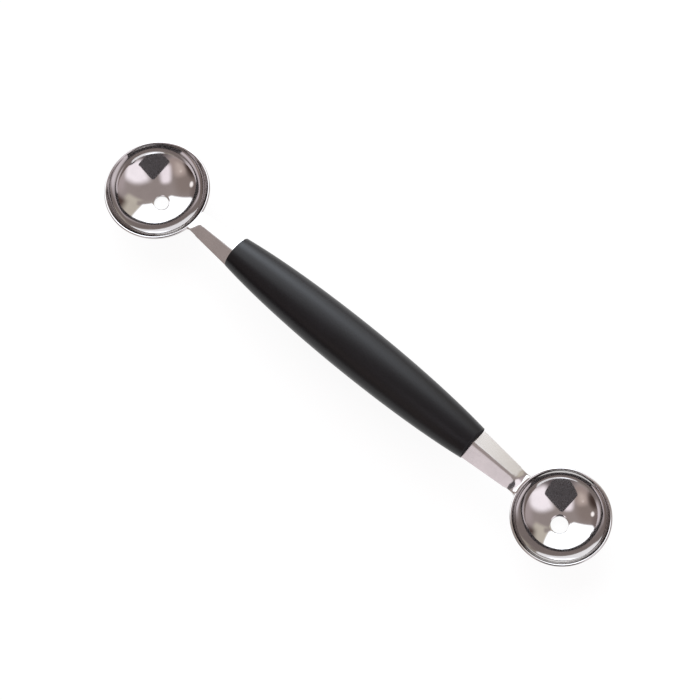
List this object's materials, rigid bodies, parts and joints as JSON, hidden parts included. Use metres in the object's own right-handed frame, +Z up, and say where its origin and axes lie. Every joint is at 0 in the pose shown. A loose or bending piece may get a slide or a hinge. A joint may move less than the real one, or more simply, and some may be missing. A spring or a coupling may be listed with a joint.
{
  "type": "fruit scoop",
  "caption": "Fruit scoop with a round polished steel bowl, vented at the bottom, on a ridged neck at each end of an oval black grip; it cuts balls from soft fruit.",
  "frame": {"origin": "middle of the length and width, on the level that the large bowl's lowest point rests on", "axes": "+X along the tool from the large bowl to the small bowl, +Z up out of the bowls' mouths, +Y across the tool"},
  "size_m": [0.18, 0.0308, 0.0177],
  "materials": {
    "bowl_steel": "mirror-polished stainless steel",
    "neck_steel": "polished stainless steel with soft reflections",
    "weld_steel": "weld metal ground and polished flush",
    "grip_plastic": "satin black moulding"
  },
  "bodies": {
    "root": {"large_bowl": "bowl_steel", "small_bowl": "bowl_steel", "large_neck": "neck_steel", "small_neck": "neck_steel", "large_weld": "weld_steel", "small_weld": "weld_steel", "handle": "grip_plastic"}
  },
  "joints": []
}
